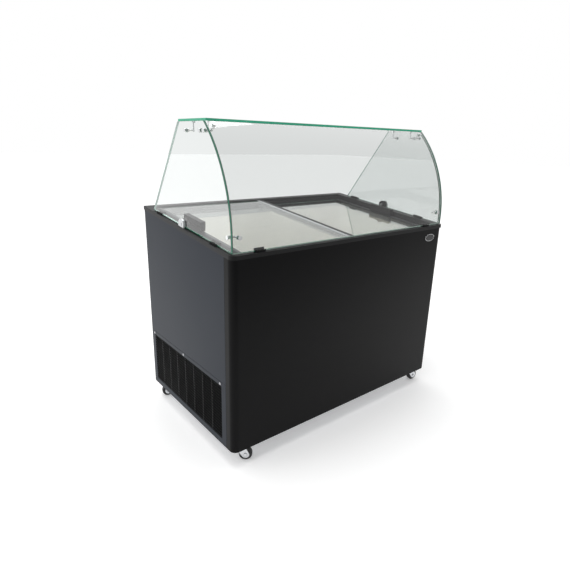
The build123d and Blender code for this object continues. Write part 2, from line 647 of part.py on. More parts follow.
# ---- Glass canopy ----
def canopy_section(offset):
    """The space behind the curved front pane, moved inwards by an offset from its outer face."""
    radius = CURVE_RADIUS - offset
    drum = Pos(0, CURVE_Y, CURVE_Z) * (Rot(0, 90, 0) * Cylinder(radius, FAR))
    above = prism(-FAR, FAR, -FAR, CURVE_Y, CURVE_Z, FAR)
    foot = prism(-FAR, FAR, PANE_FRONT_Y + offset, CURVE_Y, 0, CURVE_Z)
    rear = prism(-FAR, FAR, CURVE_Y - 1, FAR, 0, FAR)
    return (drum & above) + foot + rear


def build_canopy():
    under = FRONT_HEIGHT - 50.0
    band = prism(-PANE_X, PANE_X, -DEPTH / 2, SHELF_FRONT_Y + SHELF_DEPTH, under, PANE_TOP)
    pane = (band & canopy_section(0)) - canopy_section(PANE)
    pane -= below(-PANE_LIFT)
    slope_edge = Polygon(
        (-DEPTH / 2, under),
        (PANE_REAR_Y, under),
        (PANE_REAR_Y, top_height(PANE_REAR_Y) + PANE_LIFT),
        (SHELF_FRONT_Y + SHELF_DEPTH, PANE_TOP),
        (-DEPTH / 2, PANE_TOP),
        align=None,
    )
    side = extrude(Plane.YZ * slope_edge, amount=PANE)
    side = Pos(PANE_X - PANE, 0, 0) * side
    side = (side & canopy_section(PANE + PANE_JOINT_GAP)) - below(-PANE_LIFT)
    shelf_rear_y = SHELF_FRONT_Y + SHELF_DEPTH
    half = PANE_X - SHELF_END_INSET
    shelf = prism(-half, half, SHELF_FRONT_Y, shelf_rear_y, PANE_TOP, OVERALL_HEIGHT, SHELF_CORNER_RADIUS)

    side_face = PANE_X - PANE
    shelf_connectors = []
    corner_connectors = []
    for y in SHELF_CONNECTOR_Y:
        elbow = (side_face - SHELF_CONNECTOR_LEG, y, PANE_TOP - SHELF_CONNECTOR_DROP)
        legs = [((1, 0, 0), SHELF_CONNECTOR_LEG, True), ((0, 0, 1), SHELF_CONNECTOR_DROP, False)]
        body = connector(elbow, legs)
        shelf_connectors += [body, mirrored_x(body)]
        side -= rod(elbow, (side_face + 2 * PANE, y, elbow[2]), CONNECTOR_HOLE_RADIUS)
    for angle in CORNER_CONNECTOR_ANGLES:
        turn = math.radians(angle)
        outward = (0, -math.cos(turn), math.sin(turn))
        reach = CURVE_RADIUS - PANE - CORNER_CONNECTOR_LEG
        elbow = (
            side_face - CORNER_CONNECTOR_LEG,
            CURVE_Y + reach * outward[1],
            CURVE_Z + reach * outward[2],
        )
        legs = [((1, 0, 0), CORNER_CONNECTOR_LEG, True), (outward, CORNER_CONNECTOR_LEG, True)]
        body = connector(elbow, legs)
        corner_connectors += [body, mirrored_x(body)]
        side -= rod(elbow, (side_face + 2 * PANE, elbow[1], elbow[2]), CONNECTOR_HOLE_RADIUS)
        through = [e + (CORNER_CONNECTOR_LEG + 2 * PANE) * d for e, d in zip(elbow, outward)]
        hole = rod(elbow, through, CONNECTOR_HOLE_RADIUS)
        pane = pane - hole - mirrored_x(hole)
    clamp_z = top_height(CLAMP_Y) + CLAMP_BASE
    side -= rod((0, CLAMP_Y, clamp_z), (WIDTH, CLAMP_Y, clamp_z), CLAMP_HOLE_RADIUS)

    nodes["front_glass"] = pane
    nodes["right_side_glass"] = side
    nodes["left_side_glass"] = mirrored_x(side)
    nodes["shelf_glass"] = shelf
    bedded = [body - pane for body in corner_connectors]
    nodes["glass_connectors"] = group(shelf_connectors + bedded)


def connector(elbow, legs):
    """A bent rod with a disc at each end; a bolted leg goes on through the glass to a cap outside."""
    body = Pos(*elbow) * Sphere(CONNECTOR_ROD_RADIUS + 1.0)
    for direction, length, bolted in legs:
        at = [e + length * d for e, d in zip(elbow, direction)]
        disc_start = [e + (length - CONNECTOR_DISC) * d for e, d in zip(elbow, direction)]
        body += rod(elbow, at, CONNECTOR_ROD_RADIUS)
        body += rod(disc_start, at, CONNECTOR_DISC_RADIUS)
        if bolted:
            outer = [a + PANE * d for a, d in zip(at, direction)]
            cap = [a + (PANE + CONNECTOR_CAP) * d for a, d in zip(at, direction)]
            body += rod(at, outer, CONNECTOR_BOLT_RADIUS)
            body += rod(outer, cap, CONNECTOR_DISC_RADIUS)
    return body


def clip(x0, x1, y0, y1, inner_wall, along_x):
    """A channel on the collar's top that holds the foot of a pane; x and y give the pane's part inside it.

    Its wall outside the pane is only a low lip.
    """
    gap = CLIP_SLACK
    inner = CLIP_SLACK + inner_wall
    outer = CLIP_SLACK + CLIP_WALL
    if along_x:
        block = prism(x0, x1, y0 - outer, y1 + inner, 0, FAR)
        slot = prism(x0 - 1, x1 + 1, y0 - gap, y1 + gap, 0, FAR)
        outside = prism(x0 - 1, x1 + 1, y0 - 2 * outer, y0, 0, FAR)
    else:
        block = prism(x0 - inner, x1 + outer, y0, y1, 0, FAR)
        slot = prism(x0 - gap, x1 + gap, y0 - 1, y1 + 1, 0, FAR)
        outside = prism(x1, x1 + 2 * outer, y0 - 1, y1 + 1, 0, FAR)
    block = (block & below(-CLIP_HEIGHT)) - below(0)
    block -= slot - below(-PANE_LIFT)
    return block - (outside - below(-CLIP_LIP))


def build_clips():
    half = CLIP_LENGTH / 2
    side_clips = []
    front_inset, rear_inset = SIDE_CLIP_INSETS
    for y in (PANE_FRONT_Y + front_inset, PANE_REAR_Y - rear_inset):
        right = clip(PANE_X - PANE, PANE_X, y - half, y + half, SIDE_CLIP_INNER_WALL, False)
        side_clips += [right, mirrored_x(right)]
    clip_x = PANE_X - FRONT_CLIP_INSET
    front = clip(clip_x - half, clip_x + half, PANE_FRONT_Y, PANE_FRONT_Y + PANE, CLIP_WALL, True)
    nodes["pane_clips"] = group(side_clips + [front, mirrored_x(front)])

    centre_z = top_height(CLAMP_Y) + CLAMP_BASE
    half = CLAMP_THICKNESS / 2
    disc = Pos(0, CLAMP_Y, centre_z) * (Rot(0, 90, 0) * Cylinder(CLAMP_RADIUS, CLAMP_THICKNESS))
    foot = prism(-half, half, CLAMP_Y - CLAMP_RADIUS, CLAMP_Y + CLAMP_RADIUS, 0, centre_z)
    shape = (disc & prism(-FAR, FAR, -FAR, FAR, centre_z, FAR)) + foot
    shape = shape - below(0)
    shape -= rod((-50, CLAMP_Y, centre_z), (50, CLAMP_Y, centre_z), CLAMP_SCREW_RADIUS)
    outer = Pos(PANE_X + half + CLAMP_GASKET, 0, 0) * shape
    inner = Pos(PANE_X - PANE - half - CLAMP_GASKET, 0, 0) * shape
    nodes["clamp_outer_jaws"] = group([outer, mirrored_x(outer)])
    nodes["clamp_inner_jaws"] = group([inner, mirrored_x(inner)])
    head_x = PANE_X + CLAMP_THICKNESS + CLAMP_GASKET
    nut_x = PANE_X - PANE - CLAMP_THICKNESS - CLAMP_GASKET

    def turned(start_x, end_x, radius):
        return rod((start_x, CLAMP_Y, centre_z), (end_x, CLAMP_Y, centre_z), radius)

    screw = turned(nut_x, head_x, CLAMP_SCREW_RADIUS)
    screw += turned(head_x, head_x + CLAMP_SCREW_HEAD, CLAMP_SCREW_HEAD_RADIUS)
    screw += turned(nut_x - CLAMP_NUT, nut_x, CLAMP_NUT_RADIUS)
    nodes["clamp_screws"] = group([screw, mirrored_x(screw)])


# ---- Grille and rear service cover ----
def screw(point, direction):
    """A pan-head screw with its head's underside at the point and its shank along the direction."""
    end = [p + SCREW_LENGTH * d for p, d in zip(point, direction)]
    head = [p - SCREW_HEAD * d for p, d in zip(point, direction)]
    return rod(point, end, SCREW_RADIUS) + rod(point, head, SCREW_HEAD_RADIUS)


def grille_screw_points():
    z = GRILLE_TOP - GRILLE_TOP_BORDER / 2
    y0, y1 = SEAM_Y + PANEL_SEAM_GAP + GRILLE_SIDE_BORDER, SKIN_Y - GRILLE_SIDE_BORDER
    return [(-SKIN_X, y, z) for y in (y0 + 8.0, y0 + 0.5 * (y1 - y0) + 8.0, y1)]


def service_screw_points():
    x0, x1, z0, z1 = service_opening()
    return [(x, SKIN_Y, z) for x in (x0 + 7, x1 - 7) for z in (z0 + 9, z1 - 9)]


def build_grille():
    outer_x = -SKIN_X
    y0, y1 = SEAM_Y + PANEL_SEAM_GAP, SKIN_Y
    frame = prism(outer_x, outer_x + SHEET, y0, y1, FLOOR_GAP, GRILLE_TOP)
    w0, w1 = y0 + GRILLE_SIDE_BORDER, y1 - GRILLE_SIDE_BORDER
    z0, z1 = FLOOR_GAP + GRILLE_BOTTOM_BORDER, GRILLE_TOP - GRILLE_TOP_BORDER
    frame -= prism(-FAR, 0, w0, w1, z0, z1)
    for point in grille_screw_points():
        frame -= rod(point, (point[0] + 10, point[1], point[2]), SCREW_RADIUS)
    nodes["grille_frame"] = frame

    back_x = outer_x + SHEET
    ring = 6.0
    louvre = prism(back_x, back_x + LOUVRE_RIM, w0 - ring, w1 + ring, z0 - ring, z1 + ring)
    louvre -= prism(-FAR, 0, w0, w1, z0, z1)
    pitch = (z1 - z0) / SLAT_COUNT
    slat = Rot(0, -SLAT_TILT, 0) * Box(SLAT_DEPTH, w1 - w0, SLAT_THICKNESS)
    slat_x = back_x + LOUVRE_RIM + 0.4
    for i in range(SLAT_COUNT):
        louvre += Pos(slat_x, (w0 + w1) / 2, z0 + (i + 0.5) * pitch) * slat
    for i in range(1, RIB_COUNT + 1):
        y = w0 + i * (w1 - w0) / (RIB_COUNT + 1)
        rib = RIB_THICKNESS / 2
        louvre += prism(back_x - SHEET / 2, back_x + RIB_DEPTH, y - rib, y + rib, z0, z1)
    nodes["grille_louvre"] = louvre


def pocket_extent():
    """The control pocket in the service cover: x0, x1, z0, z1."""
    x0, x1, _, z1 = service_opening()
    middle = (x0 + x1) / 2
    return middle - POCKET_WIDTH / 2, middle + POCKET_WIDTH / 2, z1 - 24.0 - POCKET_HEIGHT, z1 - 24.0


def build_service_cover():
    x0, x1, z0, z1 = service_opening()
    cover = prism(x0 + 0.5, x1 - 0.5, SKIN_Y - SHEET, SKIN_Y, z0 + 0.5, z1 - 0.5)
    px0, px1, pz0, pz1 = pocket_extent()
    cover -= prism(px0, px1, 0, FAR, pz0, pz1)
    slot_zone = pz0 - 16.0 - (z0 + 54.0)
    for i in range(SERVICE_SLOTS):
        z = z0 + 54.0 + i * slot_zone / (SERVICE_SLOTS - 1)
        for cx in (x0 + 0.27 * (x1 - x0), x0 + 0.73 * (x1 - x0)):
            slot = Box(84.0, 20.0, 5.0)
            cover -= Pos(cx, SKIN_Y, z) * fillet(slot.edges().filter_by(Axis.Y), 2.4)
    for x, y, z in service_screw_points():
        cover -= rod((x, y, z), (x, y - 10, z), SCREW_RADIUS)
    gx, gz = gland_point()
    cover -= rod((gx, SKIN_Y + 1, gz), (gx, SKIN_Y - 10, gz), GLAND_RADIUS)
    nodes["service_cover"] = cover

    gland = rod((gx, SKIN_Y, gz), (gx, SKIN_Y + 2.2, gz), GLAND_RADIUS + 4)
    gland += rod((gx, SKIN_Y, gz), (gx, SKIN_Y - SHEET - 14, gz), GLAND_RADIUS)
    nut_plane = Plane(origin=(gx, SKIN_Y - SHEET, gz), z_dir=(0, -1, 0))
    gland += extrude(nut_plane * RegularPolygon(GLAND_RADIUS + 5, 6), amount=6.0)
    gland -= rod((gx, SKIN_Y + 5, gz), (gx, SKIN_Y - 40, gz), GLAND_BORE_RADIUS)
    nodes["cable_gland"] = gland

    points = [screw(p, (1, 0, 0)) for p in grille_screw_points()]
    points += [screw(p, (0, -1, 0)) for p in service_screw_points()]
    nodes["cover_screws"] = group(points)


def build_controls():
    """The tray in the cover's pocket with its switch, lamp and thermostat."""
    px0, px1, pz0, pz1 = pocket_extent()
    face_y = SKIN_Y - POCKET_DEPTH
    back_y = face_y - POCKET_WALL
    fit = POCKET_CLEARANCE
    tray = prism(px0 + fit, px1 - fit, back_y, SKIN_Y - SHEET, pz0 + fit, pz1 - fit)
    wall = fit + POCKET_WALL
    inner = prism(px0 + wall, px1 - wall, face_y, FAR, pz0 + wall, pz1 - wall)
    flange_y, lip = SKIN_Y - SHEET, POCKET_LIP
    flange = prism(px0 - lip, px1 + lip, flange_y - 1.5, flange_y, pz0 - lip, pz1 + lip)
    tray = tray + flange - inner

    rx, rz = rocker_point()
    w, h = ROCKER_WIDTH / 2 + ROCKER_CLEARANCE, ROCKER_HEIGHT / 2 + ROCKER_CLEARANCE
    tray -= prism(rx - w, rx + w, back_y - 1, face_y + 5, rz - h, rz + h)
    box_w, box_h, box_y = w + SWITCH_WALL, h + SWITCH_WALL, back_y - SWITCH_DEPTH
    box = prism(rx - box_w, rx + box_w, box_y - SWITCH_WALL, back_y, rz - box_h, rz + box_h)
    box -= prism(rx - w, rx + w, box_y, back_y + 1, rz - h, rz + h)
    pivot_y = back_y - 4.0
    pin = ROCKER_CLEARANCE + ROCKER_PIN_REACH
    box += rod((rx - w, pivot_y, rz), (rx - w + pin, pivot_y, rz), ROCKER_PIN_RADIUS)
    box += rod((rx + w, pivot_y, rz), (rx + w - pin, pivot_y, rz), ROCKER_PIN_RADIUS)
    tray += box
    nodes["power_rocker"] = rocker(rx, pivot_y, rz, face_y)

    lx, lz = lamp_point()
    tray -= rod((lx, face_y + 5, lz), (lx, back_y - 1, lz), LAMP_RADIUS)
    lamp = rod((lx, face_y + 3.0, lz), (lx, back_y - 12, lz), LAMP_RADIUS - 0.1)
    lamp += rod((lx, face_y, lz), (lx, face_y + 1.4, lz), LAMP_RADIUS + 2)
    nodes["indicator_lamp"] = lamp

    kx, kz = knob_point()
    shaft_end = back_y - 16.0
    shaft = rod((kx, face_y + 2.0, kz), (kx, shaft_end, kz), SHAFT_RADIUS)
    nodes["thermostat_knob"] = knob_grip(kx, kz, face_y) + shaft
    tray += prism(kx - 22, kx + 22, back_y - THERMOSTAT_DEPTH, back_y, kz - 16, kz + 16)
    bore = rod((kx, face_y + 5, kz), (kx, shaft_end - 1.0, kz), SHAFT_RADIUS + SHAFT_CLEARANCE)
    nodes["control_tray"] = tray - bore


def knob_grip(kx, kz, face_y):
    """The thermostat's grip: a drum with flutes round its rim and a pointer groove."""
    drum = Rot(-90, 0, 0) * Cylinder(KNOB_RADIUS, KNOB_HEIGHT, align=STANDING)
    grip = Pos(kx, face_y + KNOB_LIFT, kz) * drum
    grip = fillet(grip.edges().sort_by(Axis.Y)[-1], 1.5)
    flute = Pos(KNOB_RADIUS + 0.8, 0, 0) * (Rot(90, 0, 0) * Cylinder(1.8, KNOB_HEIGHT - 1.0))
    for i in range(KNOB_FLUTES):
        turn = Rot(0, 360.0 / KNOB_FLUTES * i, 0)
        grip -= Pos(kx, face_y + 9.0, kz) * (turn * flute)
    groove_z = kz + KNOB_RADIUS - 2.0
    return grip - prism(kx - 1.0, kx + 1.0, face_y + KNOB_HEIGHT, FAR, kz + 3.0, groove_z)


def knob_point():
    x0, _, z0, z1 = pocket_extent()
    return x0 + 40.0, (z0 + z1) / 2


def rocker_point():
    x0, x1, z0, z1 = pocket_extent()
    return (x0 + x1) / 2 + 14.0, (z0 + z1) / 2


def lamp_point():
    _, x1, z0, z1 = pocket_extent()
    return x1 - 30.0, (z0 + z1) / 2


def gland_point():
    _, x1, z0, _ = service_opening()
    return x1 - 30.0, z0 + 30.0


def rocker(rx, pivot_y, rz, face_y):
    """A paddle on two pins, tipped to its off side; its bores run on the housing's pins."""
    w, h = ROCKER_WIDTH / 2 - 0.2, ROCKER_HEIGHT / 2 - 1.2
    paddle = prism(-w, w, -3.4, face_y + 2.0 - pivot_y, -h, h)
    paddle = fillet(paddle.edges().filter_by(Axis.X), 1.2)
    for side in (-1, 1):
        bore_start = (side * (w + 1), 0, 0)
        bore_end = (side * (w - 3.0), 0, 0)
        paddle -= rod(bore_start, bore_end, ROCKER_PIN_RADIUS + SHAFT_CLEARANCE)
    return Pos(rx, pivot_y, rz) * (Rot(-ROCKER_TILT, 0, 0) * paddle)


# ---- Refrigeration ----
def build_machine():
    build_compressor()
    build_condenser()
    build_fan()


def build_compressor():
    cx, cy = COMPRESSOR_X, COMPRESSOR_Y
    plate_z = PAN_TOP + GROMMET_HEIGHT
    plate = Pos(cx, cy, plate_z) * Box(150, 190, MOUNT_PLATE, align=STANDING)
    feet = [(cx + dx, cy + dy) for dx in (-60, 60) for dy in (-80, 80)]
    for fx, fy in feet:
        plate -= Pos(fx, fy, plate_z) * Cylinder(GROMMET_NECK_RADIUS + 0.2, 20)
    shell_z = plate_z + MOUNT_PLATE
    half_x, half_y = SHELL_HALF_AXES
    shell = Pos(cx, cy, shell_z) * extrude(Ellipse(half_x, half_y), amount=SHELL_HEIGHT)
    shell = fillet(shell.edges().group_by(Axis.Z)[-1], 30)
    seam = Pos(cx, cy, shell_z + SHELL_HEIGHT / 2) * extrude(Ellipse(half_x + 4, half_y + 4), amount=4)
    terminal = prism(cx + 50, cx + 82, cy - 22, cy + 22, plate_z + 60, plate_z + 110)

    rubbers = []
    for fx, fy in feet:
        low = Pos(fx, fy, PAN_TOP) * Cylinder(11, GROMMET_HEIGHT, align=STANDING)
        neck = Pos(fx, fy, plate_z) * Cylinder(GROMMET_NECK_RADIUS, MOUNT_PLATE, align=STANDING)
        cap = Pos(fx, fy, shell_z) * Cylinder(8, 4, align=STANDING)
        rubbers.append(low + neck + cap)
    nodes["compressor_grommets"] = group(rubbers)

    pipe_z = plate_z + 100
    bend = (SUCTION_X, SUCTION_Y, pipe_z)
    pipe_end = (SUCTION_X, SUCTION_Y, PARTITION_Z + SUCTION_HOLE_DEPTH - 5.0)
    pipe = rod((SUCTION_X, cy + half_y - 8, pipe_z), bend, SUCTION_RADIUS)
    pipe += Pos(*bend) * Sphere(SUCTION_RADIUS)
    pipe += rod(bend, pipe_end, SUCTION_RADIUS)
    nodes["compressor"] = plate + shell + seam + terminal + pipe


def condenser_extent():
    """The condenser's front face, its ends and its foot: x, y0, y1, z."""
    x = -SKIN_X + 22.0
    return x, FAN_Y - CONDENSER_LENGTH / 2, FAN_Y + CONDENSER_LENGTH / 2, PAN_TOP + 20.0


def build_condenser():
    """Finned block behind the grille, threaded by one serpentine tube."""
    front_x, y0, y1, foot_z = condenser_extent()
    mid_x = front_x + CONDENSER_THICKNESS / 2
    height = CONDENSER_ROWS * CONDENSER_ROW_PITCH
    fin_plane = Plane(origin=(mid_x, y0, foot_z + height / 2), x_dir=(1, 0, 0), z_dir=(0, -1, 0))
    sheet = Rectangle(CONDENSER_THICKNESS, height)
    for i in range(CONDENSER_ROWS):
        offset = CONDENSER_ROW_PITCH * (i + 0.5) - height / 2
        sheet -= Pos(0, offset) * Circle(CONDENSER_TUBE_RADIUS + TUBE_CLEARANCE)
    fin = extrude(fin_plane * sheet, amount=-FIN_THICKNESS)
    pitch = (CONDENSER_LENGTH - FIN_THICKNESS) / (CONDENSER_FINS - 1)
    nodes["condenser_fins"] = group([Pos(0, i * pitch, 0) * fin for i in range(CONDENSER_FINS)])

    points = []
    for i in range(CONDENSER_ROWS):
        z = foot_z + CONDENSER_ROW_PITCH * (i + 0.5)
        ends = [(mid_x, y0 - TUBE_BEND_REACH, z), (mid_x, y1 + TUBE_BEND_REACH, z)]
        points += ends if i % 2 == 0 else ends[::-1]
    path = FilletPolyline(*points, radius=CONDENSER_ROW_PITCH / 2 - 0.5)
    start = Plane(origin=path @ 0, z_dir=path % 0)
    nodes["condenser_tube"] = sweep(start * Circle(CONDENSER_TUBE_RADIUS), path=path)


def build_fan():
    """The shroud on the condenser, the motor on its three arms and the blades."""
    front_x, y0, y1, foot_z = condenser_extent()
    height = CONDENSER_ROWS * CONDENSER_ROW_PITCH
    shroud_x = front_x + CONDENSER_THICKNESS

    def axial(x0, x1, radius):
        return rod((x0, FAN_Y, FAN_Z), (x1, FAN_Y, FAN_Z), radius)

    plate_x = shroud_x + SHEET
    shroud = prism(shroud_x, plate_x, y0, y1, PAN_TOP, foot_z + height)
    shroud += axial(plate_x, plate_x + SHROUD_DEPTH, FAN_OPENING_RADIUS + SHEET)
    shroud -= axial(shroud_x - 5, plate_x + SHROUD_DEPTH + 5, FAN_OPENING_RADIUS)
    nodes["fan_shroud"] = shroud

    motor_x = shroud_x + 40.0
    motor = axial(motor_x, motor_x + 46, 30)
    arm_x = motor_x + 6
    reach = FAN_OPENING_RADIUS + 8.0
    for angle in (30, 150, 270):
        y = FAN_Y + reach * math.cos(math.radians(angle))
        z = FAN_Z + reach * math.sin(math.radians(angle))
        motor += rod((arm_x, FAN_Y, FAN_Z), (arm_x, y, z), MOTOR_ARM_RADIUS)
        motor += rod((arm_x + MOTOR_ARM_RADIUS, y, z), (plate_x, y, z), MOTOR_ARM_RADIUS)
    motor -= axial(motor_x - 1, motor_x + 20, SHAFT_RADIUS + SHAFT_CLEARANCE)
    nodes["fan_motor"] = motor

    hub_x = shroud_x + 10.0
    fan = axial(hub_x, hub_x + FAN_HUB, 20)
    root = 15.0
    blade = Rot(0, 0, 28) * Box(22, 2.0, FAN_RADIUS - root, align=STANDING)
    for i in range(FAN_BLADES):
        turn = Rot(360.0 / FAN_BLADES * i, 0, 0)
        fan += Pos(hub_x + FAN_HUB / 2, FAN_Y, FAN_Z) * (turn * (Pos(0, 0, root) * blade))
    fan += axial(hub_x + FAN_HUB, motor_x + 19, SHAFT_RADIUS)
    nodes["fan_blade"] = fan


# ---- Badge ----
def build_badge():
    z = FRONT_HEIGHT - BADGE_DROP
    plane = Plane(origin=(BADGE_X, -SKIN_Y, z), x_dir=(1, 0, 0), z_dir=(0, -1, 0))
    badge = extrude(plane * Ellipse(BADGE_WIDTH / 2, BADGE_HEIGHT / 2), amount=BADGE_THICKNESS)
    groove = Ellipse(BADGE_WIDTH / 2 - 2.5, BADGE_HEIGHT / 2 - 2.5)
    groove -= Ellipse(BADGE_WIDTH / 2 - 4.0, BADGE_HEIGHT / 2 - 4.0)
    groove = extrude(plane * groove, amount=FAR)
    nodes["badge_plate"] = badge - (Pos(0, -BADGE_THICKNESS + 0.5, 0) * groove)


# ---- Casters ----
def caster_fork():
    """Fork with its kingpin and axle, swivel axis on Z and wheel trailing along +X."""
    plate_bottom = FLOOR_GAP + PAN_RECESS - CASTER_PLATE_THICKNESS
    crown_top = plate_bottom - RACE_HEIGHT - CROWN_CLEARANCE
    crown_z = crown_top - CROWN_THICKNESS
    fork = Pos(0, 0, crown_z) * Cylinder(RACE_RADIUS - 1, CROWN_THICKNESS, align=STANDING)
    fork += rod((0, 0, crown_z), (0, 0, plate_bottom - 1.0), KINGPIN_RADIUS)
    inner = WHEEL_WIDTH / 2 + FORK_SIDE_CLEARANCE
    leg_top = crown_z + CROWN_THICKNESS
    wide = RACE_RADIUS - 2.0
    outline = make_hull(
        (
            Pos(CASTER_TRAIL, WHEEL_RADIUS) * Circle(FORK_BOSS_RADIUS)
            + Polygon((-wide, crown_z), (wide, crown_z), (wide, leg_top), (-wide, leg_top), align=None)
        ).edges()
    )
    leg = extrude(Plane.XZ * outline, amount=FORK_THICKNESS)
    fork += Pos(0, -inner, 0) * leg
    fork += Pos(0, inner + FORK_THICKNESS, 0) * leg
    reach = inner + FORK_THICKNESS
    fork += rod((CASTER_TRAIL, -reach, WHEEL_RADIUS), (CASTER_TRAIL, reach, WHEEL_RADIUS), AXLE_RADIUS)
    for side in (-1, 1):
        plane = Plane(origin=(CASTER_TRAIL, side * reach, WHEEL_RADIUS), z_dir=(0, side, 0))
        fork += extrude(plane * RegularPolygon(6.5, 6), amount=3.0)
    return fork


def wheel_drum(radius, width):
    """A drum on the wheel's axle."""
    return Pos(CASTER_TRAIL, 0, WHEEL_RADIUS) * (Rot(90, 0, 0) * Cylinder(radius, width))


def caster_hub():
    hub = wheel_drum(HUB_RADIUS, WHEEL_WIDTH - 2.0) + wheel_drum(HUB_BOSS_RADIUS, WHEEL_WIDTH + 1.0)
    return hub - wheel_drum(AXLE_RADIUS + RUNNING_CLEARANCE, 2 * WHEEL_WIDTH)


def caster_tyre():
    tyre = wheel_drum(WHEEL_RADIUS, WHEEL_WIDTH)
    tyre = fillet(tyre.edges().filter_by(GeomType.CIRCLE), TYRE_SHOULDER)
    return tyre - wheel_drum(HUB_RADIUS, 2 * WHEEL_WIDTH)


def build_casters():
    plate_top = FLOOR_GAP + PAN_RECESS
    plate_bottom = plate_top - CASTER_PLATE_THICKNESS
    half = CASTER_PLATE / 2
    plates = []
    for px, py in caster_positions().values():
        plate = prism(-half, half, -half, half, plate_bottom, plate_top, 6.0)
        race = Pos(0, 0, plate_bottom - RACE_HEIGHT) * Cylinder(RACE_RADIUS, RACE_HEIGHT, align=STANDING)
        race = fillet(race.edges().group_by(Axis.Z)[0], 2.0)
        body = plate + race
        body -= Cylinder(KINGPIN_RADIUS + RUNNING_CLEARANCE, FAR)
        for dx in (-1, 1):
            for dy in (-1, 1):
                hole = Cylinder(CASTER_BOLT_RADIUS + CASTER_HOLE_CLEARANCE, FAR)
                body -= Pos(dx * CASTER_HOLE_SPACING / 2, dy * CASTER_HOLE_SPACING / 2, 0) * hole
        plates.append(Pos(px, py, 0) * body)
    nodes["caster_plates"] = group(plates)

    bolts = []
    for x, y in caster_bolt_points():
        shank = rod((x, y, plate_bottom), (x, y, PAN_TOP), CASTER_BOLT_RADIUS)
        head_plane = Plane(origin=(x, y, plate_bottom), z_dir=(0, 0, -1))
        bolts.append(shank + extrude(head_plane * RegularPolygon(5.5, 6), amount=4.0))
    nodes["caster_bolts"] = group(bolts)

    for name, (px, py) in caster_positions().items():
        place = Location((px, py, 0), (0, 0, CASTER_HEADINGS[name]))
        nodes[name + "_fork"] = place * caster_fork()
        nodes[name + "_hub"] = place * caster_hub()
        nodes[name + "_tyre"] = place * caster_tyre()


build_skin()
build_base()
build_tank()
build_collar()
build_lids()
build_canopy()
build_clips()
build_grille()
build_service_cover()
build_controls()
build_machine()
build_badge()
build_casters()

os.makedirs("parts", exist_ok=True)
for name, shape in nodes.items():
    export_step(shape, f"parts/{name}.step")
print(len(nodes), "nodes")
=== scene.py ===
import json
import math

import bmesh
import bpy
from mathutils import Matrix, Vector


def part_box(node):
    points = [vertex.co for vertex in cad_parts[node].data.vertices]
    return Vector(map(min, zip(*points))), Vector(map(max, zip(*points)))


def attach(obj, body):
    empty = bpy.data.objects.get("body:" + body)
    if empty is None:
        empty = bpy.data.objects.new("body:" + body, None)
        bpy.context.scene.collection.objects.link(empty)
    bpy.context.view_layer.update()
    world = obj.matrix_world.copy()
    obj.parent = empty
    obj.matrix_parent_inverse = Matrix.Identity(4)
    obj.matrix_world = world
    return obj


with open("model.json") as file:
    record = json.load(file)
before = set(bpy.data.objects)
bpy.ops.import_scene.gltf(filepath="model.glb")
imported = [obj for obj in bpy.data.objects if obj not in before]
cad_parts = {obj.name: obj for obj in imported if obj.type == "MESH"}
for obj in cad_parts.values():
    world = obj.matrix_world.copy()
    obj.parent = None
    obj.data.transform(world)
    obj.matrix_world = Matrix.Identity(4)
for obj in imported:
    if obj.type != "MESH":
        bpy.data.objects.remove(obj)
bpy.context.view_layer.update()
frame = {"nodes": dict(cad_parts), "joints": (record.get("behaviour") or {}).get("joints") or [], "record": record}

MM = 0.001
SLOPE = math.atan2(75.0, 660.0)  # the collar's incline: its rise over the cabinet's depth
ROOT = "root"
REAR_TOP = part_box("top_collar")[1][2]
BREAKER_DEPTH = 54.0 * MM  # below the collar's top, measured square to it
BREAKER_WALL = 2.5 * MM
TANK_CORNER_RADIUS = 45.0 * MM
HANDLE_WALL = 3.0 * MM
GRILLE_SIDE_BORDER = 28.0 * MM
HUB_HALF_WIDTH = 9.0 * MM
FORK_HALF_WIDTH = 14.0 * MM
BOLT_HEAD = 3.0 * MM
FLOOR_SIZE = 60.0

# ---- Camera: a full-height view from the front left, a little above the canopy ----
CAMERA_PLACE = (-1.2841, -1.4810, 1.1239)
CAMERA_YAW = 0.683
CAMERA_PITCH = 0.305
CAMERA_ROLL = 0.027
CAMERA_LENS = 28.95
SENSOR = 36.0


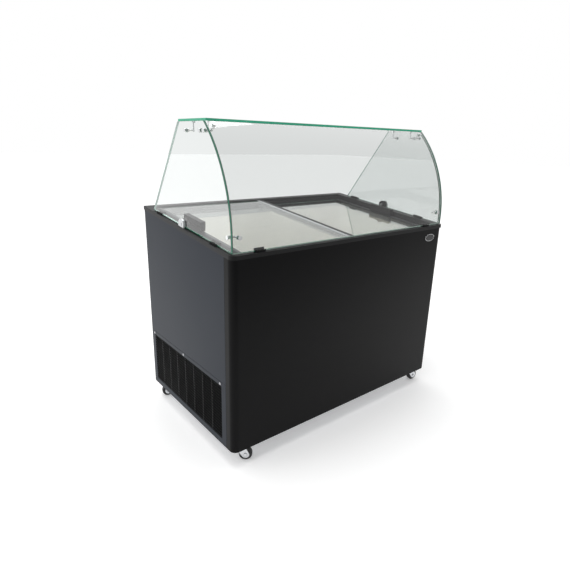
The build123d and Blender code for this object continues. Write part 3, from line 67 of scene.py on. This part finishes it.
# ---- Node helpers ----
class Graph:
    """A material's node tree, with short calls to add and join nodes."""

    def __init__(self, name):
        self.material = bpy.data.materials.new(name)
        self.material.use_nodes = True
        self.tree = self.material.node_tree
        self.tree.nodes.clear()
        self.output = self.tree.nodes.new("ShaderNodeOutputMaterial")
        self.coords = self.add("ShaderNodeTexCoord").outputs["Object"]

    def add(self, kind, inputs=None, **settings):
        node = self.tree.nodes.new(kind)
        for key, value in settings.items():
            setattr(node, key, value)
        for key, value in (inputs or {}).items():
            self.set(node.inputs[key], value)
        return node

    def set(self, socket, value):
        if isinstance(value, bpy.types.NodeSocket):
            self.tree.links.new(value, socket)
        else:
            socket.default_value = value

    def noise(self, scale, detail=3.0, stretch=(1.0, 1.0, 1.0), roughness=0.5):
        place = self.add("ShaderNodeMapping", {"Vector": self.coords, "Scale": stretch})
        values = {"Vector": place.outputs[0], "Scale": scale, "Detail": detail, "Roughness": roughness}
        return self.add("ShaderNodeTexNoise", values).outputs["Fac"]

    def ramp(self, value, low, high):
        inputs = {"Value": value, "To Min": low, "To Max": high}
        return self.add("ShaderNodeMapRange", inputs).outputs["Result"]

    def math(self, operation, a, b=0.0):
        return self.add("ShaderNodeMath", {0: a, 1: b}, operation=operation).outputs[0]

    def mix_colour(self, factor, a, b):
        node = self.add("ShaderNodeMix", data_type="RGBA")
        self.set(node.inputs[0], factor)
        self.set(node.inputs[6], a)
        self.set(node.inputs[7], b)
        return node.outputs[2]

    def bump(self, height, strength, distance, normal=None):
        inputs = {"Height": height, "Strength": strength, "Distance": distance}
        if normal is not None:
            inputs["Normal"] = normal
        return self.add("ShaderNodeBump", inputs).outputs[0]

    def soft_edge(self, radius):
        return self.add("ShaderNodeBevel", {"Radius": radius}, samples=4).outputs[0]

    def finish(self, shader):
        self.tree.links.new(shader, self.output.inputs["Surface"])
        return self.material


def rgba(colour):
    return (*colour, 1.0)


def surface(
    name,
    colour,
    roughness,
    metallic=0.0,
    variation=0.12,
    grain=400.0,
    grain_depth=0.05,
    stretch=(1.0, 1.0, 1.0),
    mottle=6.0,
    edge=0.0008,
    specular=0.5,
    coat=0.0,
    dust=0.0,
):
    """A solid finish: broad mottling of colour and gloss, a fine grain and softened edges."""
    g = Graph(name)
    broad = g.noise(mottle, 4.0)
    fine = g.noise(grain, 2.0, stretch)
    dark = [c * (1.0 - variation) for c in colour]
    light = [min(1.0, c * (1.0 + variation)) for c in colour]
    tone = g.mix_colour(g.ramp(broad, 0.0, 1.0), rgba(dark), rgba(light))
    if dust > 0:
        speck = g.ramp(g.noise(90.0, 6.0, (1.0, 1.0, 1.0), 0.7), -2.2, 1.4)
        haze = g.math("MULTIPLY", g.add("ShaderNodeClamp", {"Value": speck}).outputs[0], dust)
        tone = g.mix_colour(haze, tone, rgba((0.55, 0.54, 0.5)))
    gloss = g.math("ADD", g.ramp(broad, -0.05, 0.05), g.ramp(fine, roughness - 0.03, roughness + 0.03))
    normal = g.bump(fine, grain_depth, 0.0004, g.soft_edge(edge))
    inputs = {
        "Base Color": tone,
        "Roughness": gloss,
        "Metallic": metallic,
        "Normal": normal,
        "Specular IOR Level": specular,
        "Coat Weight": coat,
    }
    return g.finish(g.add("ShaderNodeBsdfPrincipled", inputs).outputs[0])


def glass(name, tint, edge_green_with_painted_light, edge_axes, gloss=1.0, rear_edge_painted_light=None):
    """Clear pane faces with green sawn edges; the edges carry painted light: a faint glow, and a brightness given
    per pane.

    edge_axes lists (axis, test, limit): a face whose normal passes any of them is an edge.
    The rear edge colour, when given, is painted light: a paler colour on the edges behind the cabinet's middle.
    """
    g = Graph(name)
    geometry = g.add("ShaderNodeNewGeometry").outputs
    split = g.add("ShaderNodeSeparateXYZ", {0: geometry["True Normal"]}).outputs
    outside = g.math("SUBTRACT", gloss, g.math("MULTIPLY", geometry["Backfacing"], gloss))
    both = g.math("MULTIPLY", g.add("ShaderNodeFresnel", {"IOR": 1.5}).outputs[0], 1.8)
    fresnel = g.math("MULTIPLY", g.math("MINIMUM", both, 1.0), outside)
    smear = g.ramp(g.noise(7.0, 5.0), 0.0, 0.05)
    clear = g.add("ShaderNodeBsdfTransparent", {"Color": rgba(tint)}).outputs[0]
    shine = g.add("ShaderNodeBsdfGlossy", {"Color": rgba((1.0, 1.0, 1.0)), "Roughness": smear}).outputs[0]
    face = g.add("ShaderNodeMixShader", {0: fresnel, 1: clear, 2: shine}).outputs[0]

    streaks = g.noise(160.0, 3.0, (0.15, 1.0, 1.0))
    deep = [c * 0.6 for c in edge_green_with_painted_light]
    colour = g.mix_colour(streaks, rgba(deep), rgba(edge_green_with_painted_light))
    # Edges behind the cabinet's middle turn to the rear colour: painted paler light on the same glass.
    if rear_edge_painted_light is not None:
        y = g.add("ShaderNodeSeparateXYZ", {0: g.coords}).outputs[1]
        colour = g.mix_colour(g.math("GREATER_THAN", y, 0.0), colour, rgba(rear_edge_painted_light))
    # The sawn edges glow (Emission Strength 0.25) though they are no lamp: a painted glow for light carried
    # through the glass.
    painted_glow_edge_inputs = {
        "Base Color": colour,
        "Roughness": 0.15,
        "Emission Color": colour,
        "Emission Strength": 0.25,
    }
    edge = g.add("ShaderNodeBsdfPrincipled", painted_glow_edge_inputs).outputs[0]
    is_edge = None
    for axis, test, limit in edge_axes:
        found = g.math(test, g.math("ABSOLUTE", split[axis]), limit)
        is_edge = found if is_edge is None else g.math("MAXIMUM", is_edge, found)
    return g.finish(g.add("ShaderNodeMixShader", {0: is_edge, 1: face, 2: edge}).outputs[0])


def extrusion():
    """Anodised lid profiles: the middle ones are bright, the end ones by the handles are grey."""
    g = Graph("anodised_extrusion")
    x = g.math("ABSOLUTE", g.add("ShaderNodeSeparateXYZ", {0: g.coords}).outputs[0])
    at_end = g.math("GREATER_THAN", x, 0.4)
    drawn = g.noise(900.0, 2.0, (1.0, 0.03, 1.0))
    bright = g.mix_colour(drawn, rgba((0.56, 0.57, 0.58)), rgba((0.68, 0.69, 0.7)))
    grey = g.mix_colour(drawn, rgba((0.10, 0.105, 0.11)), rgba((0.14, 0.145, 0.15)))
    inputs = {
        "Base Color": g.mix_colour(at_end, bright, grey),
        "Roughness": g.ramp(drawn, 0.3, 0.4),
        "Metallic": 0.9,
        "Normal": g.bump(drawn, 0.08, 0.0004, g.soft_edge(0.0006)),
    }
    return g.finish(g.add("ShaderNodeBsdfPrincipled", inputs).outputs[0])


def tread_rubber():
    """Black rubber with a faint bloom."""
    return surface("tyre_rubber", (0.012, 0.012, 0.013), 0.62, 0.0, 0.3, 900.0, 0.2, mottle=40.0, dust=0.12)


MATERIALS = {
    "cabinet_black": surface(
        "satin_black_coat", (0.0015, 0.0015, 0.0018), 0.34, 0.0, 0.1, 1500.0, 0.035, mottle=1.6, specular=0.10
    ),
    # A paler, bluer copy of the satin black coat: painted light on the cabinet's side, which is lit from the left.
    "cabinet_slate": surface(
        "satin_black_coat_painted_lit_side", (0.0105, 0.0150, 0.0235), 0.42, 0.0, 0.08, 1500.0, 0.04, mottle=1.8, specular=0.16
    ),
    "galvanised": surface("galvanised_sheet", (0.5, 0.51, 0.53), 0.42, 0.9, 0.2, 60.0, 0.05, mottle=30.0),
    "black_plastic": surface(
        "black_moulding", (0.0035, 0.0035, 0.004), 0.38, 0.0, 0.15, 2200.0, 0.09, mottle=12.0, specular=0.22
    ),
    "grey_plastic": surface("grey_moulding", (0.33, 0.35, 0.35), 0.45, 0.0, 0.05, 1500.0, 0.06, mottle=5.0),
    # The white liner is given a cream tint: painted warm light on a white sheet.
    "liner_white": surface("stucco_liner_painted_warm_light", (0.74, 0.725, 0.665), 0.38, 0.0, 0.03, 260.0, 0.35, mottle=4.0),
    "foam": surface("rigid_foam", (0.75, 0.66, 0.42), 0.9, 0.0, 0.2, 500.0, 0.5),
    "copper_tube": surface("drawn_copper", (0.72, 0.36, 0.2), 0.28, 1.0, 0.25, 700.0, 0.05, mottle=60.0),
    "aluminium": extrusion(),
    "chrome": surface("polished_chrome", (0.78, 0.79, 0.8), 0.08, 1.0, 0.04, 900.0, 0.01, mottle=40.0),
    "satin_silver": surface("satin_casting", (0.62, 0.63, 0.64), 0.3, 0.95, 0.08, 1600.0, 0.12, mottle=60.0),
    "zinc": surface("bright_zinc", (0.66, 0.67, 0.69), 0.24, 1.0, 0.12, 700.0, 0.06, mottle=50.0),
    "compressor_black": surface("black_enamel", (0.008, 0.008, 0.008), 0.2, 0.0, 0.2, 500.0, 0.08, coat=0.4),
    "rubber": tread_rubber(),
    "wheel_black": surface("black_nylon", (0.02, 0.02, 0.022), 0.35, 0.0, 0.15, 1200.0, 0.08, mottle=60.0),
    "lamp_green": surface("green_lens", (0.03, 0.35, 0.1), 0.12, 0.0, 0.1, 600.0, 0.02, coat=0.6),
    "badge": surface("badge_enamel", (0.02, 0.02, 0.022), 0.2, 0.0, 0.1, 900.0, 0.03, coat=0.3),
    "lid_glass": glass("lid_pane", (0.955, 0.958, 0.955), (0.16, 0.22, 0.20), [(2, "LESS_THAN", 0.9)]),
}
FRONT_TINT = (0.83, 0.842, 0.838)
SIDE_TINT = (0.905, 0.92, 0.915)
# The panes share one green glass; their edge colours are painted light: the shelf's edges painted lit, the front
# and side edges painted in shade, the side panes' rear edges painted paler.
PAINTED_LIT_EDGE = (0.03, 0.36, 0.21)
PAINTED_SHADED_EDGE = (0.004, 0.10, 0.055)
PAINTED_PALE_REAR_EDGE = (0.30, 0.42, 0.38)
SIDE_PANE = glass("side_pane", SIDE_TINT, PAINTED_SHADED_EDGE, [(0, "LESS_THAN", 0.5)], rear_edge_painted_light=PAINTED_PALE_REAR_EDGE)
PANES = {
    "shelf_glass": glass("shelf_pane", SIDE_TINT, PAINTED_LIT_EDGE, [(2, "LESS_THAN", 0.5)]),
    "front_glass": glass(
        "curved_pane", FRONT_TINT, PAINTED_SHADED_EDGE, [(0, "GREATER_THAN", 0.5), (2, "GREATER_THAN", 0.95)]
    ),
    "left_side_glass": SIDE_PANE,
    "right_side_glass": SIDE_PANE,
}


def paint_nodes():
    slots = {entry["node"]: entry["material_slot"] for entry in frame["record"]["subparts"]}
    for name, obj in frame["nodes"].items():
        material = PANES.get(name) or MATERIALS[slots[name]]
        obj.data.materials.clear()
        obj.data.materials.append(material)


# ---- Piece helpers ----
def piece(name, mesh_maker, body, slot):
    """A new piece whose mesh is filled in by mesh_maker(bmesh); it rides on a body."""
    bm = bmesh.new()
    mesh_maker(bm)
    mesh = bpy.data.meshes.new(name)
    bm.to_mesh(mesh)
    bm.free()
    obj = bpy.data.objects.new(name, mesh)
    bpy.context.scene.collection.objects.link(obj)
    mesh.materials.append(MATERIALS[slot])
    for polygon in mesh.polygons:
        polygon.use_smooth = True
    mesh.set_sharp_from_angle(angle=math.radians(35))
    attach(obj, body)
    return obj


def add_block(bm, low, high, bevel=0.0004, turn=None):
    """A block with eased edges between two corners; turn is a matrix applied to it."""
    low, high = Vector(low), Vector(high)
    made = bmesh.ops.create_cube(bm, size=1.0)
    bmesh.ops.scale(bm, verts=made["verts"], vec=high - low)
    bmesh.ops.translate(bm, verts=made["verts"], vec=(high + low) / 2)
    edges = {edge for vert in made["verts"] for edge in vert.link_edges}
    result = bmesh.ops.bevel(bm, geom=list(edges), offset=bevel, segments=2, profile=0.5, affect="EDGES")
    if turn is not None:
        verts = {vert for face in result["faces"] for vert in face.verts}
        verts |= {vert for vert in made["verts"] if vert.is_valid}
        bmesh.ops.transform(bm, matrix=turn, verts=list(verts))


def add_lathe(bm, profile, matrix, steps=48):
    """A turned shape: profile gives (radius, height) pairs, turned round local Z and placed by matrix."""
    rings = []
    for radius, height in profile:
        ring = []
        for i in range(steps):
            angle = 2 * math.pi * i / steps
            point = Vector((radius * math.cos(angle), radius * math.sin(angle), height))
            ring.append(bm.verts.new(matrix @ point))
        rings.append(ring)
    for lower, upper in zip(rings, rings[1:]):
        for i in range(steps):
            j = (i + 1) % steps
            bm.faces.new((lower[i], lower[j], upper[j], upper[i]))
    bm.faces.new(rings[0][::-1])
    bm.faces.new(rings[-1])


def aimed(place, direction):
    """A matrix that takes local +Z to a direction, at a place."""
    return Matrix.Translation(place) @ Vector(direction).to_track_quat("Z", "Y").to_matrix().to_4x4()


def tube(name, points, radius, body, slot, closed=False):
    curve = bpy.data.curves.new(name, "CURVE")
    curve.dimensions = "3D"
    curve.bevel_depth = radius
    curve.bevel_resolution = 3
    spline = curve.splines.new("POLY")
    spline.points.add(len(points) - 1)
    for target, point in zip(spline.points, points):
        target.co = (*point, 1.0)
    spline.use_cyclic_u = closed
    obj = bpy.data.objects.new(name, curve)
    bpy.context.scene.collection.objects.link(obj)
    curve.materials.append(MATERIALS[slot])
    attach(obj, body)
    return obj


def collar_height(y, drop=0.0):
    """Height of the plane that lies a distance under the collar's top, at this y."""
    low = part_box("top_collar")[0]
    front_top = REAR_TOP - (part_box("top_collar")[1][1] - low[1]) * math.tan(SLOPE)
    return front_top + (y - low[1]) * math.tan(SLOPE) - drop / math.cos(SLOPE)


# ---- Details ----
def liner_bead():
    """A thin sealant bead where the grey breaker strip meets the liner."""
    low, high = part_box("breaker_strip")
    wall, radius = BREAKER_WALL, TANK_CORNER_RADIUS
    x0, x1, y0, y1 = low[0] + wall, high[0] - wall, low[1] + wall, high[1] - wall
    points = []
    corners = ((x1, y1, 0), (x0, y1, 90), (x0, y0, 180), (x1, y0, 270))
    for cx, cy, start in corners:
        centre_x = cx - radius if cx == x1 else cx + radius
        centre_y = cy - radius if cy == y1 else cy + radius
        for i in range(9):
            angle = math.radians(start + 90 * i / 8)
            x = centre_x + radius * math.cos(angle)
            y = centre_y + radius * math.sin(angle)
            points.append((x, y, collar_height(y, BREAKER_DEPTH)))
    tube("liner_sealant_bead", points, 1.6 * MM, ROOT, "grey_plastic", closed=True)


def screw_recesses():
    """Cross recesses in the pan-head screws of the grille and the service cover."""
    low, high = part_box("grille_frame")
    drop = 8.0 * MM
    y0, y1 = low[1] + GRILLE_SIDE_BORDER, high[1] - GRILLE_SIDE_BORDER
    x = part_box("cover_screws")[0][0]
    places = [((x, y, high[2] - drop), (-1, 0, 0)) for y in (y0 + drop, (y0 + y1) / 2 + drop, y1)]
    cover_low, cover_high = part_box("service_cover")
    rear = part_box("cover_screws")[1][1]
    for sx in (cover_low[0] + 6.5 * MM, cover_high[0] - 6.5 * MM):
        for sz in (cover_low[2] + 8.5 * MM, cover_high[2] - 8.5 * MM):
            places.append(((sx, rear, sz), (0, 1, 0)))

    def make(bm):
        arm, width, proud = 2.6 * MM, 0.45 * MM, 0.12 * MM
        for place, direction in places:
            turn = aimed(place, direction)
            add_block(bm, (-arm, -width, -proud), (arm, width, proud), 0.05 * MM, turn)
            add_block(bm, (-width, -arm, -proud), (width, arm, proud), 0.05 * MM, turn)

    piece("screw_recesses", make, ROOT, "black_plastic")


def rear_rivets():
    """Blind rivets along the rear panel's sides and foot."""
    low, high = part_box("rear_panel")
    face_y = high[1]
    inset, pitch = 10.0 * MM, 95.0 * MM
    places = []
    count = int((high[2] - low[2] - 2 * inset) / pitch)
    for i in range(count + 1):
        z = low[2] + inset + i * (high[2] - low[2] - 5 * inset) / count
        places += [(high[0] - inset, z)]
        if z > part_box("service_cover")[1][2] + 3 * inset:
            places.append((low[0] + inset, z))
    across = int((high[0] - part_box("service_cover")[1][0]) / pitch)
    for i in range(1, across):
        places.append((high[0] - inset - i * pitch, low[2] + inset))

    def make(bm):
        head, dome = 3.4 * MM, 1.1 * MM
        profile = [(head, 0.0), (head, 0.35 * dome), (0.82 * head, 0.75 * dome)]
        profile += [(0.4 * head, dome), (0.3 * head, 0.7 * dome)]
        for x, z in places:
            add_lathe(bm, profile, aimed((x, face_y, z), (0, 1, 0)), 20)

    piece("rear_rivets", make, ROOT, "zinc")


def dial_ticks():
    """Raised ticks round the thermostat's knob."""
    low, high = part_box("thermostat_knob")
    cx, cz = (low[0] + high[0]) / 2, (low[2] + high[2]) / 2
    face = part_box("indicator_lamp")[1][1] - 3.0 * MM
    radius = (high[0] - low[0]) / 2 + 3.5 * MM

    def make(bm):
        for i in range(11):
            angle = math.radians(-135 + 27 * i)
            long = 2.4 * MM if i % 5 == 0 else 1.4 * MM
            centre = Vector((cx + radius * math.sin(angle), face, cz + radius * math.cos(angle)))
            turn = Matrix.Translation(centre) @ Matrix.Rotation(angle, 4, "Y")
            low_corner = (-0.35 * MM, -0.1 * MM, -long / 2)
            high_corner = (0.35 * MM, 0.25 * MM, long / 2)
            add_block(bm, low_corner, high_corner, 0.08 * MM, turn)

    piece("dial_ticks", make, ROOT, "liner_white")


def handle_ribs():
    """Finger ribs inside each handle's recess."""
    for side, body in (("left", "left_lid"), ("right", "right_lid")):
        low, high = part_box(side + "_lid_handle")
        outward = -1 if side == "left" else 1
        web = (high[0] - HANDLE_WALL) if side == "left" else (low[0] + HANDLE_WALL)
        y_mid, z_mid = (low[1] + high[1]) / 2, (low[2] + high[2]) / 2
        half = (high[1] - low[1]) / 2 - 8.0 * MM

        def make(bm):
            for i in range(5):
                rise = (i - 2) * 3.2 * MM
                turn = Matrix.Translation((web, y_mid, z_mid + rise)) @ Matrix.Rotation(SLOPE, 4, "X")
                x0, x1 = sorted((0.0, outward * 0.8 * MM))
                add_block(bm, (x0, -half, -0.5 * MM), (x1, half, 0.5 * MM), 0.2 * MM, turn)

        piece(side + "_handle_ribs", make, body, "black_plastic")


def caster_details():
    """Turned bolt caps, and hub rings with spokes, placed from each caster's own joints."""
    joints = {joint["name"]: joint for joint in frame["joints"]}
    for corner in ("front_left", "front_right", "rear_left", "rear_right"):
        roll = joints[corner + "_roll"]
        centre, axis = Vector(roll["pos_m"]), Vector(roll["axis"]).normalized()

        def wheel_rings(bm):
            for side in (-1, 1):
                place = aimed(centre + axis * side * HUB_HALF_WIDTH, axis * side)
                ring = [(16.6 * MM, 0.0), (16.6 * MM, 0.9 * MM), (15.4 * MM, 0.9 * MM), (15.0 * MM, 0.2 * MM)]
                ring += [(9.6 * MM, 0.2 * MM), (9.2 * MM, 0.8 * MM), (8.2 * MM, 0.8 * MM)]
                add_lathe(bm, ring, place, 40)
                for i in range(6):
                    spoke = place @ Matrix.Rotation(math.radians(60 * i), 4, "Z")
                    inner, outer = (9.2 * MM, -0.8 * MM, 0.0), (15.4 * MM, 0.8 * MM, 0.8 * MM)
                    add_block(bm, inner, outer, 0.2 * MM, spoke)

        piece(corner + "_hub_rings", wheel_rings, "wheel_" + corner, "wheel_black")

        def bolt_caps(bm):
            reach = FORK_HALF_WIDTH + BOLT_HEAD
            for side in (-1, 1):
                place = aimed(centre + axis * side * reach, axis * side)
                dome = [(5.2 * MM, 0.0), (5.0 * MM, 0.6 * MM), (3.6 * MM, 1.2 * MM), (1.6 * MM, 1.5 * MM)]
                add_lathe(bm, dome, place, 24)

        piece(corner + "_bolt_caps", bolt_caps, "swivel_" + corner, "zinc")


def badge_rim():
    """A raised rim round the plain oval badge."""
    low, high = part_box("badge_plate")
    cx, cz = (low[0] + high[0]) / 2, (low[2] + high[2]) / 2
    a, b = (high[0] - low[0]) / 2 - 0.8 * MM, (high[2] - low[2]) / 2 - 0.8 * MM
    points = []
    for i in range(64):
        angle = 2 * math.pi * i / 64
        points.append((cx + a * math.cos(angle), low[1] + 0.1 * MM, cz + b * math.sin(angle)))
    tube("badge_rim", points, 0.7 * MM, ROOT, "chrome", closed=True)


def pane_gaskets():
    """Soft black pads between the clamps and the panes."""
    low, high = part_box("clamp_screws")
    z_mid, y_mid = (low[2] + high[2]) / 2, (low[1] + high[1]) / 2
    glass_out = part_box("right_side_glass")[1][0]
    glass_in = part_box("right_side_glass")[0][0]

    def make(bm):
        for sign in (-1, 1):
            for x, out in ((glass_out, sign), (glass_in, -sign)):
                place = aimed((sign * x, y_mid, z_mid), (out, 0, 0))
                add_lathe(bm, [(7.0 * MM, 0.0), (7.0 * MM, 0.2 * MM), (6.6 * MM, 0.2 * MM)], place, 28)

    piece("clamp_pads", make, ROOT, "rubber")


def build_details():
    liner_bead()
    screw_recesses()
    rear_rivets()
    dial_ticks()
    handle_ribs()
    caster_details()
    badge_rim()
    pane_gaskets()


# ---- Studio ----
def build_stage():
    mesh = bpy.data.meshes.new("studio_floor")
    half = FLOOR_SIZE / 2
    corners = [(-half, -half, 0), (half, -half, 0), (half, half, 0), (-half, half, 0)]
    mesh.from_pydata(corners, [], [(0, 1, 2, 3)])
    floor = bpy.data.objects.new("studio_floor", mesh)
    bpy.context.scene.collection.objects.link(floor)
    g = Graph("pale_floor")
    y = g.add("ShaderNodeSeparateXYZ", {0: g.coords}).outputs[1]
    inputs = {"Value": y, "From Min": -2.6, "From Max": -1.25, "To Min": 0.0, "To Max": 1.0}
    near = g.add("ShaderNodeMapRange", inputs, interpolation_type="SMOOTHSTEP").outputs[0]
    paper = g.mix_colour(g.noise(3.0), rgba((0.93, 0.93, 0.93)), rgba((0.96, 0.96, 0.96)))
    colour = g.mix_colour(near, rgba((0.42, 0.42, 0.42)), paper)
    # The floor glows more with distance from the cabinet: painted light that lifts the far floor to the white of
    # the world.
    distance = g.add("ShaderNodeVectorMath", {0: g.coords}, operation="LENGTH").outputs["Value"]
    painted_glow_range = {"Value": distance, "From Min": 1.2, "From Max": 3.2, "To Min": 0.22, "To Max": 0.36}
    painted_floor_glow = g.add("ShaderNodeMapRange", painted_glow_range, interpolation_type="SMOOTHSTEP").outputs[0]
    paper_inputs = {
        "Base Color": colour,
        "Roughness": 0.8,
        "Specular IOR Level": 0.2,
        "Emission Color": colour,
        "Emission Strength": painted_floor_glow,
    }
    shader = g.add("ShaderNodeBsdfPrincipled", paper_inputs)
    floor.data.materials.append(g.finish(shader.outputs[0]))

    world = bpy.data.worlds.new("studio_world")
    bpy.context.scene.world = world
    world.use_nodes = True
    tree = world.node_tree
    tree.nodes.clear()
    coords = tree.nodes.new("ShaderNodeTexCoord")
    split = tree.nodes.new("ShaderNodeSeparateXYZ")
    tree.links.new(coords.outputs["Generated"], split.inputs[0])
    fade = tree.nodes.new("ShaderNodeMapRange")
    fade.interpolation_type = "SMOOTHSTEP"
    tree.links.new(split.outputs[1], fade.inputs["Value"])
    fade.inputs["From Min"].default_value = -0.5
    fade.inputs["From Max"].default_value = 0.15
    fade.inputs["To Min"].default_value = 0.55
    fade.inputs["To Max"].default_value = 1.0
    background = tree.nodes.new("ShaderNodeBackground")
    background.inputs["Color"].default_value = (1.0, 1.0, 1.0, 1.0)
    tree.links.new(fade.outputs[0], background.inputs["Strength"])
    output = tree.nodes.new("ShaderNodeOutputWorld")
    tree.links.new(background.outputs[0], output.inputs["Surface"])


def area_light(name, place, target, size, power, shows=True):
    data = bpy.data.lights.new(name, "AREA")
    data.shape = "RECTANGLE"
    data.size, data.size_y = size
    data.energy = power
    light = bpy.data.objects.new(name, data)
    aim = (Vector(target) - Vector(place)).to_track_quat("-Z", "Y")
    light.matrix_world = Matrix.Translation(place) @ aim.to_matrix().to_4x4()
    light.visible_glossy = shows
    light.visible_camera = shows
    bpy.context.scene.collection.objects.link(light)


def build_lights():
    area_light("tank_fill", (0.0, 0.05, 1.16), (0.0, 0.0, 0.5), (0.95, 0.3), 5.0, shows=False)
    area_light("overhead_softbox", (-0.2, 0.3, 3.4), (0, 0, 0.6), (3.2, 2.4), 55.0)
    area_light("left_softbox", (-3.4, 0.6, 1.9), (0, 0, 0.6), (2.0, 2.0), 18.0)


def build_camera():
    forward = Vector((math.sin(CAMERA_YAW), math.cos(CAMERA_YAW), 0.0))
    right = Vector((math.cos(CAMERA_YAW), -math.sin(CAMERA_YAW), 0.0))
    up = Vector((0.0, 0.0, 1.0))
    look = forward * math.cos(CAMERA_PITCH) - up * math.sin(CAMERA_PITCH)
    over = up * math.cos(CAMERA_PITCH) + forward * math.sin(CAMERA_PITCH)
    side = right * math.cos(CAMERA_ROLL) + over * math.sin(CAMERA_ROLL)
    over = over * math.cos(CAMERA_ROLL) - right * math.sin(CAMERA_ROLL)
    turn = Matrix((side, over, -look)).transposed().to_4x4()
    data = bpy.data.cameras.new("photo_camera")
    data.lens = CAMERA_LENS
    data.sensor_width = SENSOR
    camera = bpy.data.objects.new("photo_camera", data)
    camera.matrix_world = Matrix.Translation(CAMERA_PLACE) @ turn
    bpy.context.scene.collection.objects.link(camera)
    bpy.context.scene.camera = camera


paint_nodes()
build_details()
build_stage()
build_lights()
build_camera()
bpy.context.scene.view_settings.view_transform = "Standard"
